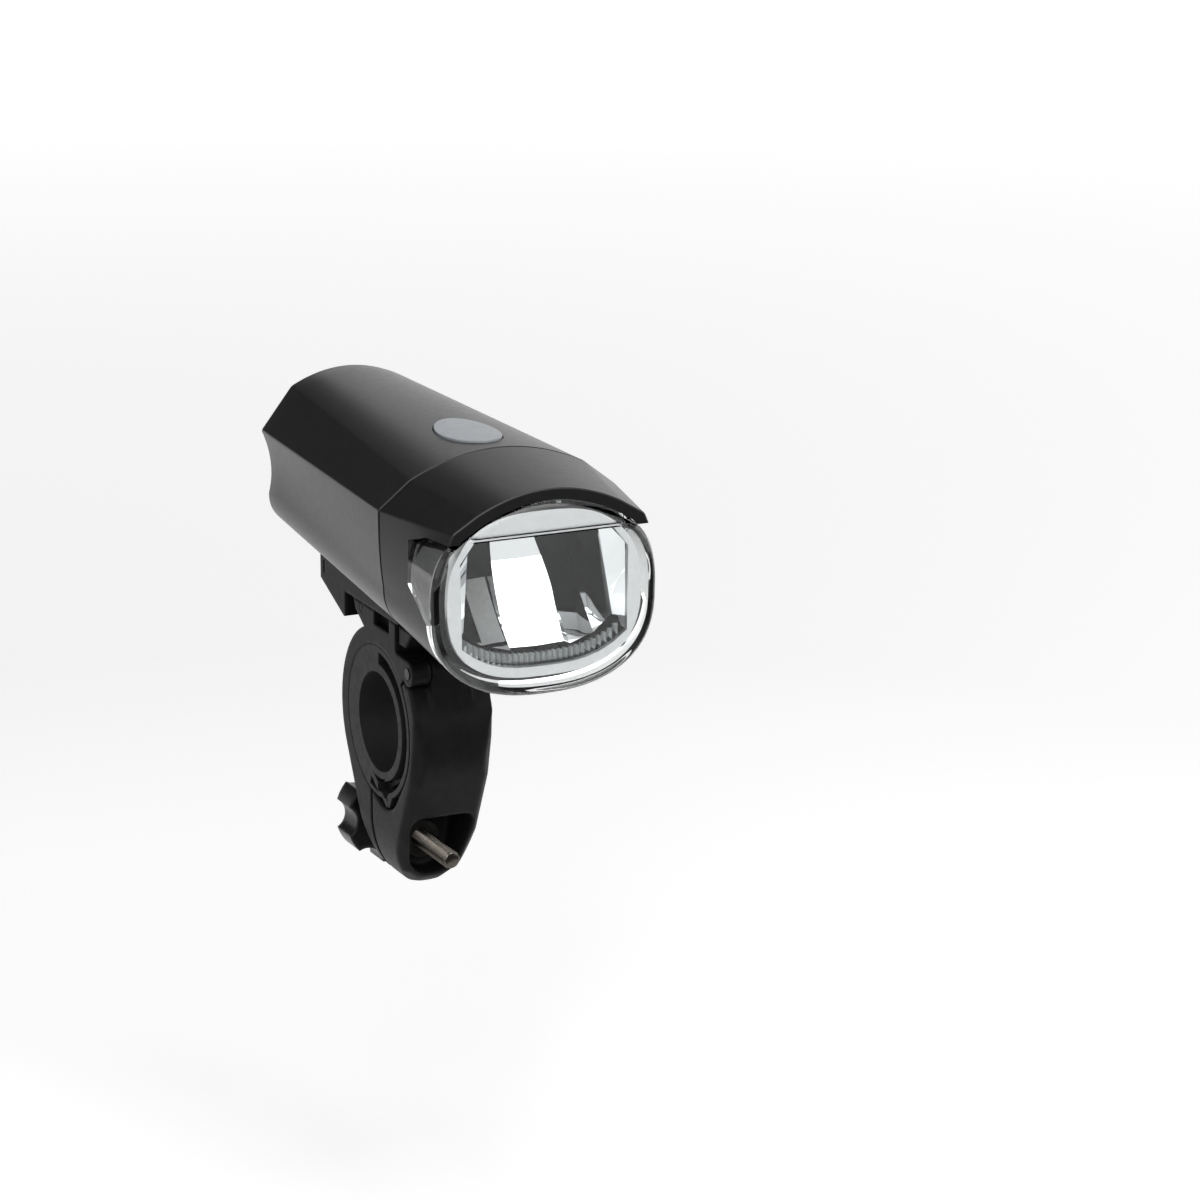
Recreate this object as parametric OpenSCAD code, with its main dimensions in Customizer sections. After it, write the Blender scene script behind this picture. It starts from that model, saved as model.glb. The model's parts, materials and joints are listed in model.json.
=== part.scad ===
// Bicycle headlight on a quick-release handlebar clamp.
// The origin is on the handlebar's axis, in the middle of the clamp.
// +X runs along the handlebar, the beam points to -Y, and +Z is up.

/* [Clamp] */
// Handlebar diameter that the clamp is made for
bar_d = 22.2; // [22.2:0.1:22.6]
// Width of the clamp along the handlebar
clamp_w = 18.4; // [17.6:0.2:19.2]
// Outer diameter of the clamp ring
ring_d = 42; // [41:0.5:43]
// Inner diameter of the two jaws, where the rubber liner sits
jaw_bore_d = 34.2; // [33.8:0.2:34.6]
// Depth of the clamp bolt below the handlebar's axis
bolt_drop = 27.5; // [27:0.1:28]
// Clamp bolt thread diameter
bolt_d = 4; // [3:0.5:4]
// Reach of the bolt's free end in front of the handlebar's axis
bolt_reach = 18.5; // [16:0.5:20]
// Diameter over the lobes of the clamp knob
knob_d = 21; // [18:0.5:22]
// Number of lobes on the clamp knob
knob_lobes = 6; // [5:1:8]

/* [Light body] */
// Seam between the rear housing and the head, along Y
seam_y = -44; // [-44.5:0.5:-43.5]
// Rear end of the housing, along Y
rear_y = 40; // [39.5:0.5:41]
// Front of the lens, where the head's front section is given, along Y
face_y = -68; // [-68.5:0.5:-67.5]
// Front edge of the visor, along Y
visor_y = -70; // [-70.5:0.5:-69.5]
// Wall thickness of the housing
shell_t = 2; // [1.8:0.1:2.2]
// Wall thickness of the head and its visor
head_t = 2.4; // [2.2:0.1:2.6]
// Visible gap at the seam
seam_gap = 0.3; // [0.2:0.05:0.4]

/* [Button] */
// Length of the oval button
button_l = 21.6; // [20:0.2:22]
// Width of the oval button
button_w = 12.6; // [12:0.2:13]
// Middle of the button, along Y
button_y = -28.7; // [-29.5:0.1:-28]
// Button travel
button_travel = 0.8; // [0.5:0.1:0.8]

/* [Quick release] */
// Half width of the light's shoe
shoe_hw = 9.6; // [9.4:0.1:9.8]
// Underside of the shoe above the handlebar's axis
shoe_z = 25; // [25:0.1:25.2]
// Travel that takes the light off the clamp
slide_travel = 30; // [28:0.5:30]

/* [Batteries] */
// Cell diameter
cell_d = 14.2; // [13.8:0.1:14.4]
// Cell length with its raised contact
cell_l = 50.5; // [49.5:0.1:50.5]

/* [Hidden] */
$fn = 64;

// Body sections: crown height, upper bevel corner, lower bevel corner, waist control, hip, keel height.
// Corners are [half width, height].
rear_keys = [70.4, [12.9, 67], [20.2, 57.6], [16.8, 50.2], [18.7, 43.3], 33.5];
seam_keys = [70.2, [19.6, 65.3], [26.7, 59.7], [26.8, 49.5], [25.8, 43.3], 29.5];
face_keys = [67.6, [16.3, 63.4], [21.7, 60], [24.6, 53], [25, 43], 23.3];
keel_power = 2.4;
crown_steps = 9;
side_steps = 7;
keel_steps = 12;

// Clamp
ring_r = ring_d / 2;
jaw_r = jaw_bore_d / 2;
bar_r = bar_d / 2;
liner_r = jaw_r - 0.1;
lug_c = [-0.6, -28.9];
lug_r = 8.2;
lug_front_z = -22.6;
lug_front_h = 14.7;
cavity_c = [-3, -10.9];
cavity_r = 8;
split_y = 4.7;
split_gap = 0.4;
hinge_c = [-16.6, 15.2];
hinge_barrel_r = 2.8;
hinge_pin_r = 1.25;
hinge_clear = 0.3;
knuckle_hw = 4.7;
pocket_floor_y = -0.6;
boss_r = 5.4;
boss_y = 9.2;
slot_drop = 2.2;
bolt_r = bolt_d / 2;
bolt_z = -bolt_drop;
nut_flange_r = 4.2;
nut_flange_t = 1.2;
nut_body_t = 2.6;
nut_flats = 7;
washer_t = 1;
knob_hub_y = boss_y + washer_t + 0.1;
knob_star_y = 15.4;
knob_end_y = 23;

// Bracket head and shoe
neck_top = 24.6;
waist_hw = 5;
plate_hw = 7.2;
plate_z = [26.4, 28.4];
plate_y = [-16, 17.1];
neck_y = [-10, 12.4];
latch_hw = 3;
latch_slot_hw = 3.4;
latch_pivot = [9, 23.6];
latch_pin_r = 1;
shoe_y = [-12.5, 31.7];
shoe_top = 30.6;
stop_y = 17.4;
channel_hw = 7.5;
channel_z = [26.2, 28.7];
lip_hw = 5.3;
screw_pos = [5, 25];
screw_r = 1.25;

// Inside the light
cell_r = cell_d / 2;
cell_pos = [[-7.4, 57], [7.4, 57], [0, 44.2]];
bay_y = [-18.1, 35.5];
contact_t = 0.4;
spring_l = bay_y[1] - bay_y[0] - cell_l;
board_top = 61.6;
focus = [-57.5, 57];
mirror_top = [-47.5, 60];
mirror_f = 11;
mirror_hw = 18.8;
mirror_t = 1.4;
mirror_wall = 1.1;
mirror_side_sag = 2.4;
panel_hw = 6.2;
panel_f = 16;
panel_top_y = -53.3;
flute_h = 3.2;
bezel_y = [-66.9, -65.7];
bezel_mid_z = 44.6;
bezel_hw = 21.6;
pane_y = [-68.8, -67.1];

function mix(a, b, t) = a + (b - a) * t;
function mix_keys(a, b, t) = [for (i = [0:5]) mix(a[i], b[i], t)];
function keys_at(y) = y >= seam_y
    ? mix_keys(seam_keys, rear_keys, (y - seam_y) / (rear_y - seam_y))
    : mix_keys(seam_keys, face_keys, (seam_y - y) / (seam_y - face_y));
function bezier(a, b, c, t) = a * (1 - t) * (1 - t) + b * 2 * t * (1 - t) + c * t * t;

// Right half of a section, from the crown down to the keel
function half_section(k) = concat(
    [for (i = [0:crown_steps]) let (t = i / crown_steps) [k[1].x * t, k[0] - (k[0] - k[1].y) * t * t]],
    [k[2]],
    [for (i = [1:side_steps]) bezier(k[2], k[3], k[4], i / side_steps)],
    [for (i = [1:keel_steps]) let (a = 90 * i / keel_steps)
        [k[4].x * pow(max(cos(a), 0), 2 / keel_power), mix(k[4].y, k[5], pow(sin(a), 2 / keel_power))]]
);
function section(k) = let (h = half_section(k), n = len(h))
    concat(h, [for (i = [n - 2:-1:1]) [-h[i].x, h[i].y]]);

// Section moved in by d, with mitred corners
function unit(v) = v / norm(v);
function inward(a, b) = let (d = unit(b - a)) [d.y, -d.x];
function inset(p, d) = let (n = len(p)) [for (i = [0:n - 1])
    let (m = inward(p[(i + n - 1) % n], p[i]), q = inward(p[i], p[(i + 1) % n]))
    p[i] + d * (m + q) / (1 + m * q)];
function ring(k, y, d) = [for (p = inset(section(k), d)) [p.x, y, p.y]];
function body_ring(y, d) = ring(keys_at(y), y, d);

// Sections joined in order: capped at both ends, or closed on themselves
module skin(rings, loop = false) {
    n = len(rings[0]);
    m = len(rings);
    spans = loop ? m : m - 1;
    sides = [for (k = [0:spans - 1], i = [0:n - 1])
        let (j = (i + 1) % n, a = k * n, b = ((k + 1) % m) * n)
        each [[a + i, b + i, b + j], [a + i, b + j, a + j]]];
    caps = loop ? [] : [[for (i = [0:n - 1]) i], [for (i = [n - 1:-1:0]) (m - 1) * n + i]];
    polyhedron(points = [for (r = rings) each r], faces = concat(sides, caps), convexity = 6);
}

// Outline in the Y-Z plane, extruded along X
module along_x(w) {
    rotate([90, 0, 90])
        linear_extrude(w, center = true)
            children();
}

// Outline in the X-Z plane, extruded along Y between two planes
module along_y(y0, y1) {
    translate([0, y1, 0])
        rotate([90, 0, 0])
            linear_extrude(y1 - y0)
                children();
}

// Round bar along X or Y
module rod_x(r, x0, x1) {
    translate([x0, 0, 0])
        rotate([0, 90, 0])
            cylinder(r = r, h = x1 - x0);
}
module rod_y(r, y0, y1) {
    translate([0, y1, 0])
        rotate([90, 0, 0])
            cylinder(r = r, h = y1 - y0);
}

// Outline round two circles, with the straight tangents that join them
function arc(c, r, a0, a1, n) = [for (i = [0:n]) let (a = mix(a0, a1, i / n)) c + r * [cos(a), sin(a)]];
function belt(c1, r1, c2, r2) =
    let (d = c2 - c1, turn = atan2(d.y, d.x), lean = acos((r1 - r2) / norm(d)))
    concat(arc(c1, r1, turn + lean, turn + 360 - lean, 56), arc(c2, r2, turn - lean, turn + lean, 28));

module oval(l, w, grow = 0) {
    polygon([for (a = [0:7.5:352.5]) [(w / 2 + grow) * cos(a), (l / 2 + grow) * sin(a)]]);
}

// Tube swept along a path that stays near level turns, for the coil springs
function coil_point(r0, r1, pitch, turns, t) =
    [mix(r0, r1, t) * cos(360 * turns * t), mix(r0, r1, t) * sin(360 * turns * t), pitch * turns * t];
module coil(r0, r1, pitch, turns, wire_r) {
    steps = 8 * turns;
    sides = 6;
    rings = [for (k = [0:steps])
        let (t = k / steps, a = 360 * turns * t, c = coil_point(r0, r1, pitch, turns, t))
        [for (s = [0:sides - 1]) let (b = 360 * s / sides)
            c + wire_r * [cos(a) * cos(b), sin(a) * cos(b), sin(b)]]];
    skin(rings);
}
// Least distance between the wire's surfaces on points one turn apart
function coil_gap(r0, r1, pitch, turns, wire_r) = min([for (k = [0:8 * (turns - 1)])
    norm(coil_point(r0, r1, pitch, turns, (k + 8) / (8 * turns))
        - coil_point(r0, r1, pitch, turns, k / (8 * turns)))]) - 2 * wire_r;

battery_coil = [4, 2.8, 1.2, 2, 0.3];
latch_coil = [2.1, 2.1, 1.1, 3.5, 0.3];
echo(battery_spring_gap = coil_gap(4, 2.8, 1.2, 2, 0.3), latch_spring_gap = coil_gap(2.1, 2.1, 1.1, 3.5, 0.3));

// Side view of both jaws together, without the hollow for the liner
module jaw_outline() {
    polygon(belt([0, 0], ring_r, lug_c, lug_r));
}
module jaw_hollow() {
    polygon(belt([0, 0], jaw_r, cavity_c, cavity_r));
}
// Front view of the clamp: straight sides that close in an oval lower end
module jaw_front_outline() {
    hw = clamp_w / 2;
    polygon(concat(
        [[-hw, 40]],
        [for (i = [0:32]) let (a = 180 + 180 * i / 32) [hw * cos(a), lug_front_z + lug_front_h * sin(a)]],
        [[hw, 40]]));
}
// Corner view of the front jaw, whose slanted sides break the long edges
module jaw_corner_outline() {
    side = [[5, -36], [9.5, -32.5], [13.9, -23.8], [18.7, -9.3], [20.2, 0], [20.4, 5], [25, 9], [30, 40]];
    polygon(concat([[0, -37.7]], side, [for (i = [7:-1:0]) [-side[i].x, side[i].y]]));
}
// Front view of the pocket for the bolt: flat top, round lower end
module pocket_outline() {
    polygon(concat(
        [for (i = [0:8]) let (a = 90 * i / 8) [4.8 + 2.5 * cos(a), bolt_z + 6.3 + 2.5 * sin(a)]],
        [for (i = [8:16]) let (a = 90 * i / 8) [-4.8 + 2.5 * cos(a), bolt_z + 6.3 + 2.5 * sin(a)]],
        [for (i = [0:16]) let (a = 190 + 10 * i) [6.2 * cos(a), bolt_z - 0.2 + 6.2 * sin(a)]]));
}
// Part of the side view that belongs to the front jaw, moved off the split by g
module front_share(g) {
    u = unit(hinge_c);
    off = g * [-u.y, u.x];
    polygon([[split_y - g, -60], [split_y - g, -8], off, off + 60 * u, [-70, 20], [-70, -60]]);
}
module hinge_at() {
    translate([0, hinge_c.x, hinge_c.y])
        children();
}
module bolt_at() {
    translate([0, 0, bolt_z])
        children();
}

module clamp_bracket() {
    hw = clamp_w / 2;
    color("#1b1b1d")
    difference() {
        union() {
            // rear jaw
            intersection() {
                along_x(clamp_w)
                    difference() {
                        jaw_outline();
                        jaw_hollow();
                        front_share(-split_gap / 2);
                    }
                along_y(-60, 60)
                    jaw_front_outline();
            }
            // hinge ears and the web that carries them
            hinge_at()
                rod_x(hinge_barrel_r, -hw, hw);
            along_x(clamp_w)
                polygon([hinge_c + [-0.6, 2.7], [neck_y[0] + 1, 18.3], [-12.4, 14], hinge_c]);
            // boss that the knob pulls against
            intersection() {
                bolt_at()
                    rod_y(boss_r, split_y + split_gap / 2, boss_y);
                along_y(-60, 60)
                    jaw_front_outline();
            }
            // neck, waist and sliding plate
            along_x(clamp_w)
                polygon([[neck_y[0], 17.5], [neck_y[0], neck_top], [neck_y[1] + 1, neck_top],
                    [neck_y[1], 22.4], [7.6, 19.5]]);
            translate([-waist_hw, neck_y[0], neck_top - 1])
                cube([2 * waist_hw, plate_y[1] - neck_y[0], plate_z[0] - neck_top + 2]);
            translate([-plate_hw, plate_y[0], plate_z[0]])
                cube([2 * plate_hw, plate_y[1] - plate_y[0], plate_z[1] - plate_z[0]]);
        }
        // room for the front jaw's knuckle
        hinge_at()
            rod_x(hinge_barrel_r + hinge_clear, -knuckle_hw - 0.2, knuckle_hw + 0.2);
        hinge_at()
            rod_x(hinge_pin_r, -hw - 1, hw + 1);
        // hollow for the liner, through the ears and the neck
        along_x(clamp_w + 2)
            circle(jaw_r);
        // slot for the bolt, long enough for the jaws to open
        for (z = [0, -slot_drop])
            translate([0, 0, bolt_z + z])
                rod_y(bolt_r + 0.3, 0, boss_y + 1);
        translate([-bolt_r - 0.3, 0, bolt_z - slot_drop])
            cube([2 * bolt_r + 0.6, boss_y + 1, slot_drop]);
        // spot faces for the washer and the knob
        bolt_at()
            rod_y(6, boss_y, 40);
        bolt_at()
            rod_y(knob_d / 2 + 0.8, knob_star_y - 1.2, 40);
        // relief in the sides of the neck
        for (s = [-1, 1])
            translate([s * (hw + 8) - 10, neck_y[0] + 3.4, 21.6])
                cube([20, 8.4, neck_top - 21.6]);
        // slot and pocket for the release latch
        translate([-latch_slot_hw, plate_y[0] - 1, 21.8])
            cube([2 * latch_slot_hw, latch_pivot.x + 3.4 - plate_y[0] + 1, 10]);
        translate([0, latch_pivot.x, latch_pivot.y])
            rod_x(latch_pin_r, -hw - 1, hw + 1);
    }
}

module front_jaw() {
    hw = clamp_w / 2;
    color("#1b1b1d")
    difference() {
        union() {
            intersection() {
                along_x(clamp_w)
                    intersection() {
                        jaw_outline();
                        front_share(split_gap / 2);
                    }
                along_y(-60, 60)
                    jaw_front_outline();
                rotate([0, 0, -45])
                    along_y(-60, 60)
                        jaw_corner_outline();
                rotate([0, 0, 45])
                    along_y(-60, 60)
                        jaw_corner_outline();
            }
            // hinge knuckle and the web that carries it
            hinge_at()
                rod_x(hinge_barrel_r, -knuckle_hw, knuckle_hw);
            along_x(2 * knuckle_hw)
                polygon([hinge_c + [-2.6, 0.2], hinge_c - [0, 0.4], [-14.5, 12], [-17.4, 9.6], [-19.6, 3.6], [-20.4, 2.6]]);
        }
        along_x(clamp_w + 2)
            jaw_hollow();
        // room for the bracket's ears
        for (s = [-1, 1])
            hinge_at()
                rod_x(hinge_barrel_r + hinge_clear, s * (hw + knuckle_hw) / 2 - 2.4, s * (hw + knuckle_hw) / 2 + 2.4);
        hinge_at()
            rod_x(hinge_pin_r + 0.05, -hw, hw);
        // deep pocket in front, with the nut in its floor
        along_y(-40, pocket_floor_y)
            pocket_outline();
        bolt_at()
            rod_y(bolt_r + 0.3, -5, 10);
        bolt_at()
            rotate([90, 0, 0])
                translate([0, 0, -pocket_floor_y - nut_body_t])
                    cylinder(r = nut_flats / 2 / cos(30), h = nut_body_t + 1, $fn = 6);
    }
}

module hinge_pin() {
    color("silver")
    hinge_at()
        rod_x(hinge_pin_r, -clamp_w / 2 - 0.2, clamp_w / 2 + 0.2);
}

// Strut of the liner from a to b in the side view
module strut(a, b, t) {
    n = [(b - a).y, (a - b).x] * t / 2 / norm(b - a);
    polygon([a + n, b + n, b - n, a - n]);
}

module rubber_liner() {
    groove = 2.6;
    color("#2a2a2b")
    difference() {
        union() {
            along_x(clamp_w)
                difference() {
                    circle(liner_r);
                    circle(bar_r);
                }
            // truss that fills the hollow below the bar
            along_x(clamp_w - 0.6)
                intersection() {
                    union() {
                        strut([5.2, -12], [-3.8, -18.2], 1.5);
                        strut([-9.2, -9.4], [-4, -18.2], 1.5);
                    }
                    polygon(belt([0, 0], jaw_r - 0.3, cavity_c, cavity_r - 0.3));
                }
        }
        // groove round the front of each face, and the open bottom with its two struts
        for (s = [-1, 1])
            translate([s * (clamp_w / 2 - groove / 2 + 0.01), 0, 0])
                along_x(groove + 0.02)
                    difference() {
                        circle(liner_r - 1.2);
                        circle(bar_r + 2);
                        polygon([[-1, 30], [1.5, -30], [30, -30], [30, 30]]);
                    }
        along_x(clamp_w + 2)
            difference() {
                polygon([[3.4, -10], [-8.2, -8.6], [-6.2, -16.4], [-3.8, -17], [5.2, -15.4]]);
                strut([5.2, -12], [-3.8, -18.2], 1.5);
                strut([-9.2, -9.4], [-4, -18.2], 1.5);
                strut([-8, -10.4], [0.6, -15.4], 1.2);
                circle(bar_r + 1.6);
            }
    }
}

module clamp_bolt() {
    color("silver")
    bolt_at()
        rod_y(bolt_r, -bolt_reach, knob_star_y + 4);
}

module clamp_knob() {
    tip_r = knob_d / 2;
    lobe_r = tip_r * 0.3;
    color("#1b1b1d")
    difference() {
        bolt_at() {
            rod_y(5, knob_hub_y, knob_star_y + 1);
            along_y(knob_star_y, knob_end_y)
                difference() {
                    circle(tip_r);
                    for (i = [0:knob_lobes - 1])
                        rotate(360 / knob_lobes * i)
                            translate([tip_r + 1.4, 0])
                                circle(lobe_r + 0.6);
                }
        }
        bolt_at()
            rod_y(bolt_r, 0, knob_star_y + 4);
        // dished outer face
        bolt_at()
            rod_y(5.4, knob_end_y - 1, knob_end_y + 1);
    }
}

module thrust_washer() {
    color("silver")
    bolt_at()
        difference() {
            rod_y(4.9, boss_y + 0.05, boss_y + 0.05 + washer_t);
            rod_y(bolt_r + 0.05, boss_y - 1, boss_y + washer_t + 1);
        }
}

module clamp_nut() {
    color("silver")
    bolt_at()
        difference() {
            union() {
                rod_y(nut_flange_r, pocket_floor_y - nut_flange_t, pocket_floor_y);
                rotate([90, 0, 0])
                    translate([0, 0, -pocket_floor_y - nut_body_t])
                        cylinder(r = nut_flats / 2 / cos(30), h = nut_body_t + 0.1, $fn = 6);
            }
            rod_y(bolt_r + 0.03, -10, 10);
            rod_y(bolt_r + 0.9, pocket_floor_y - nut_flange_t - 1, pocket_floor_y - 0.3);
        }
}

module release_latch() {
    tab_hw = 8.8;
    color("#1b1b1d")
    difference() {
        union() {
            // arm in the slot, from its pivot to the front
            along_x(2 * latch_hw)
                polygon([[latch_pivot.x + 1.7, 23.4], [latch_pivot.x + 1.7, 27.6], [latch_pivot.x + 1, 28.1],
                    [-5.6, 28.1], [-8.6, 29.9], [-9, 29.9], [-9, 28.1], [-18, 28.1], [-18, 22], [-15.4, 22],
                    [-15.4, 26.3], [latch_pivot.x - 3.2, 26.3], [latch_pivot.x - 1.7, 24]]);
            translate([0, latch_pivot.x, latch_pivot.y])
                rod_x(1.7, -latch_hw, latch_hw);
            // thumb tab with its sloping front
            along_x(2 * tab_hw)
                polygon([[-11.2, 24.3], [-18.2, 24.3], [-14.6, 20.4], [-11.2, 20.4]]);
        }
        translate([0, latch_pivot.x, latch_pivot.y])
            rod_x(latch_pin_r + 0.05, -20, 20);
    }
}

module latch_pin() {
    color("silver")
    translate([0, latch_pivot.x, latch_pivot.y])
        rod_x(latch_pin_r, -clamp_w / 2, clamp_w / 2);
}

module latch_spring() {
    color("silver")
    translate([0, -4.6, 21.8 + latch_coil[4]])
        coil(latch_coil[0], latch_coil[1], latch_coil[2], latch_coil[3], latch_coil[4]);
}

module mount_shoe() {
    color("#1b1b1d")
    difference() {
        union() {
            along_x(2 * shoe_hw)
                polygon([[shoe_y[0], shoe_z], [stop_y, shoe_z], [stop_y, 19.4], [18.2, 19.2],
                    [shoe_y[1], shoe_z - 0.2], [shoe_y[1], shoe_top], [shoe_y[0], shoe_top]]);
        }
        // channel for the bracket's sliding plate, open in front and below
        translate([-channel_hw, shoe_y[0] - 1, channel_z[0]])
            cube([2 * channel_hw, stop_y - shoe_y[0] + 1, channel_z[1] - channel_z[0]]);
        translate([-lip_hw, shoe_y[0] - 1, shoe_z - 1])
            cube([2 * lip_hw, stop_y - shoe_y[0] + 1, channel_z[0] - shoe_z + 2]);
        // notch that the latch drops into
        translate([-latch_slot_hw, -9.7, channel_z[1] - 1])
            cube([2 * latch_slot_hw, 4.5, 2.4]);
        // screw seats, reached from below
        for (s = [-1, 1])
            translate([s * screw_pos.x, screw_pos.y, 0]) {
                cylinder(r = screw_r, h = 60);
                translate([0, 0, 15])
                    cylinder(r = 2.4, h = 12.6);
            }
        // side slits at the rear
        for (s = [-1, 1])
            translate([s * shoe_hw - 0.8, 29.2, 26.4])
                cube([1.6, 0.6, 2.8]);
    }
}

module shoe_screws() {
    color("silver")
    for (s = [-1, 1])
        translate([s * screw_pos.x, screw_pos.y, 0]) {
            translate([0, 0, 27])
                cylinder(r = screw_r, h = 6.6);
            difference() {
                translate([0, 0, 26.2])
                    cylinder(r = 2.3, h = 1.4);
                for (a = [0, 90])
                    rotate(a)
                        translate([-1.5, -0.25, 25])
                            cube([3, 0.5, 1.9]);
            }
        }
}

module rear_housing() {
    round_r = 1.6;
    inner_end = rear_y - shell_t;
    color("#161618")
    difference() {
        union() {
            skin([
                body_ring(inner_end, shell_t), body_ring(mix(seam_y, rear_y, 0.5), shell_t),
                body_ring(seam_y, shell_t), body_ring(seam_y, 0), body_ring(mix(seam_y, rear_y, 0.33), 0),
                body_ring(mix(seam_y, rear_y, 0.67), 0),
                for (a = [0:30:90]) body_ring(rear_y - round_r * (1 - sin(a)), round_r * (1 - cos(a)))
            ]);
            // flat pad under the housing that the shoe is screwed to
            along_x(2 * shoe_hw)
                polygon([[shoe_y[0], shoe_top], [shoe_y[1], shoe_top], [shoe_y[1], 34.5], [shoe_y[0], 32.3]]);
        }
        translate([0, button_y, 60])
            linear_extrude(20)
                oval(button_l, button_w, 0.25);
        for (s = [-1, 1])
            translate([s * screw_pos.x, screw_pos.y, shoe_top - 1])
                cylinder(r = screw_r, h = 4);
    }
}

module button() {
    crown_r = 39.4;
    flange_z = 66.1;
    color("#9aa0a6")
    translate([0, button_y, 0]) {
        intersection() {
            translate([0, 0, flange_z])
                linear_extrude(5)
                    oval(button_l, button_w);
            translate([0, 0, 70.6 - crown_r])
                rod_y(crown_r, -20, 20);
        }
        translate([0, 0, flange_z])
            linear_extrude(1)
                oval(button_l, button_w, 0.7);
        translate([0, 0, 64.2])
            cylinder(r = 2.5, h = 2);
    }
}

// Side view of the boundary where the lens takes over from the head, moved back by g
function lens_edge(g) = [[-61.5 + g, 57.6 + g], [-55.6 + g, 55.8 + g], [-56.7 + g, 47.2], [-64.6 + g, 40.2],
    [-64.2 + g, 30], [-63.5 + g, 10]];

module front_head() {
    back = seam_y - seam_gap;
    spigot = seam_y + 3.2;
    groove = [seam_y + 0.7, seam_y + 2.5];
    deep = shell_t + 0.25;
    thick = 4.2;
    step = -50;
    color("#161618")
    difference() {
        skin([
            body_ring(visor_y, 0), body_ring(mix(face_y, seam_y, 0.5), 0), body_ring(back, 0),
            body_ring(back, deep), body_ring(groove[0], deep), body_ring(groove[0], deep + 0.9),
            body_ring(groove[1], deep + 0.9), body_ring(groove[1], deep), body_ring(spigot, deep),
            body_ring(spigot, thick), body_ring(seam_y, thick), body_ring(step, thick), body_ring(step, head_t),
            body_ring(visor_y, head_t)
        ], loop = true);
        along_x(80)
            polygon(concat([[-90, 10], [-90, 57.75]], lens_edge(0.15)));
    }
}

// The lens stays under the visor and flush with the head's sides
function lens_ring(y, d) = let (k = keys_at(y))
    ring([k[0] - head_t - 0.2, k[1] - [1, 2.4], k[2] - [1.7, 2.3], k[3] + [1, 0.8], k[4], k[5]], y, d);

module lens() {
    wall = 1.9;
    back = -54;
    color("#e8f0f4", 0.4)
    intersection() {
        skin([
            lens_ring(pane_y[0], 2.2), lens_ring(pane_y[0] + 0.3, 1.1), lens_ring(pane_y[0] + 1.1, 0.3),
            lens_ring(pane_y[0] + 2.2, 0), lens_ring(-60, 0), lens_ring(back, 0),
            lens_ring(back, wall), lens_ring(pane_y[1], wall)
        ]);
        along_x(80)
            polygon(concat([[-90, 10], [-90, 80], [-61.5, 80]], lens_edge(0)));
    }
}

// Outline of the bezel: a rounded D, fuller below than above
module bezel_outline(d = 0) {
    polygon([for (a = [0:6:354])
        let (up = sin(a) > 0, p = 2 / (up ? 2.4 : 2.7), b = up ? 17.7 : 17.1)
        [(bezel_hw - d) * sign(cos(a)) * pow(abs(cos(a)), p),
            bezel_mid_z + (b - d) * sign(sin(a)) * pow(abs(sin(a)), p)]]);
}
module bezel_opening() {
    polygon(concat(
        [[-15.5, 57.1], [15.5, 57.1], [18.7, 52.9]],
        [for (i = [0:12]) let (x = 18.4 * (1 - i / 6)) [x, 29.6 + 5.4 * pow(abs(x) / 18.4, 3)]],
        [[-18.7, 52.9]]));
}

module bezel() {
    color("#c9ccd0")
    along_y(bezel_y[0], bezel_y[1])
        difference() {
            bezel_outline();
            bezel_opening();
        }
}

// Depth of the mirror at offset x and height z: a parabola from top to bottom, shallower at the sides,
// with a flatter panel in the middle
function deep_y(x, z) = mirror_top.x - pow(mirror_top.y - z, 2) / (4 * mirror_f)
    - mirror_side_sag * pow(x / mirror_hw, 2);
function panel_y(z) = panel_top_y - pow(focus.y - z, 2) / (4 * panel_f);
function mirror_y(x, z) = mix(deep_y(x, z), panel_y(z), min(max((panel_hw + 0.4 - abs(x)) / 0.4, 0), 1));
function flute_low(x) = 29.4 + 5.4 * pow(min(abs(x), 18.4) / 18.4, 3);
function mirror_low(x) = flute_low(x) + flute_h + 0.1;
function mirror_high(x) = 57.2 - 1.3 * max(abs(x) - 15.5, 0);

// Side view of the mirror's shell at x
function trough(x) =
    let (rows = 12, low = mirror_low(x), high = mirror_high(x))
    [for (p = concat(
        [for (j = [rows:-1:0]) let (z = mix(low, high, j / rows)) [mirror_y(x, z), z]],
        [for (j = [0:rows]) let (z = mix(low, high, j / rows)) [mirror_y(x, z) + mirror_t, z]])
    ) [x, p.x, p.y]];

module reflector() {
    step = panel_hw + 0.4;
    bands = [-mirror_hw, -12.4, -step, -panel_hw, panel_hw, step, 12.4, mirror_hw];
    color("#d8dadd")
    skin([for (x = bands) trough(x)]);
}

// Side walls of the mirror
module mirror_cheeks() {
    near = mirror_hw + 0.02;
    high = mirror_high(near + mirror_wall);
    low = flute_low(near);
    color("#d8dadd")
    for (s = [-1, 1])
        translate([s * (near + mirror_wall / 2), 0, 0])
            along_x(mirror_wall)
                polygon(concat([[bezel_y[1], high], [bezel_y[1], low]],
                    [for (j = [0:12]) let (z = mix(low, high, j / 12)) [mirror_y(near, z) + mirror_t, z]]));
}

// Plate that closes the mirror above, with the window for the emitter
module shade_plate() {
    edge = mirror_hw + mirror_wall + 0.02;
    under = [for (x = [edge, 15.5, -15.5, -edge]) [x, mirror_high(x) + 0.02]];
    color("#2a2b2d")
    difference() {
        along_y(bezel_y[1], deep_y(0, mirror_high(0)) + mirror_t)
            polygon(concat(under, [for (i = [3:-1:0]) under[i] + [0, mirror_t]]));
        translate([-3, focus.x - 3, focus.y - 0.5])
            cube([6, 6, 5]);
    }
}

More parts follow.
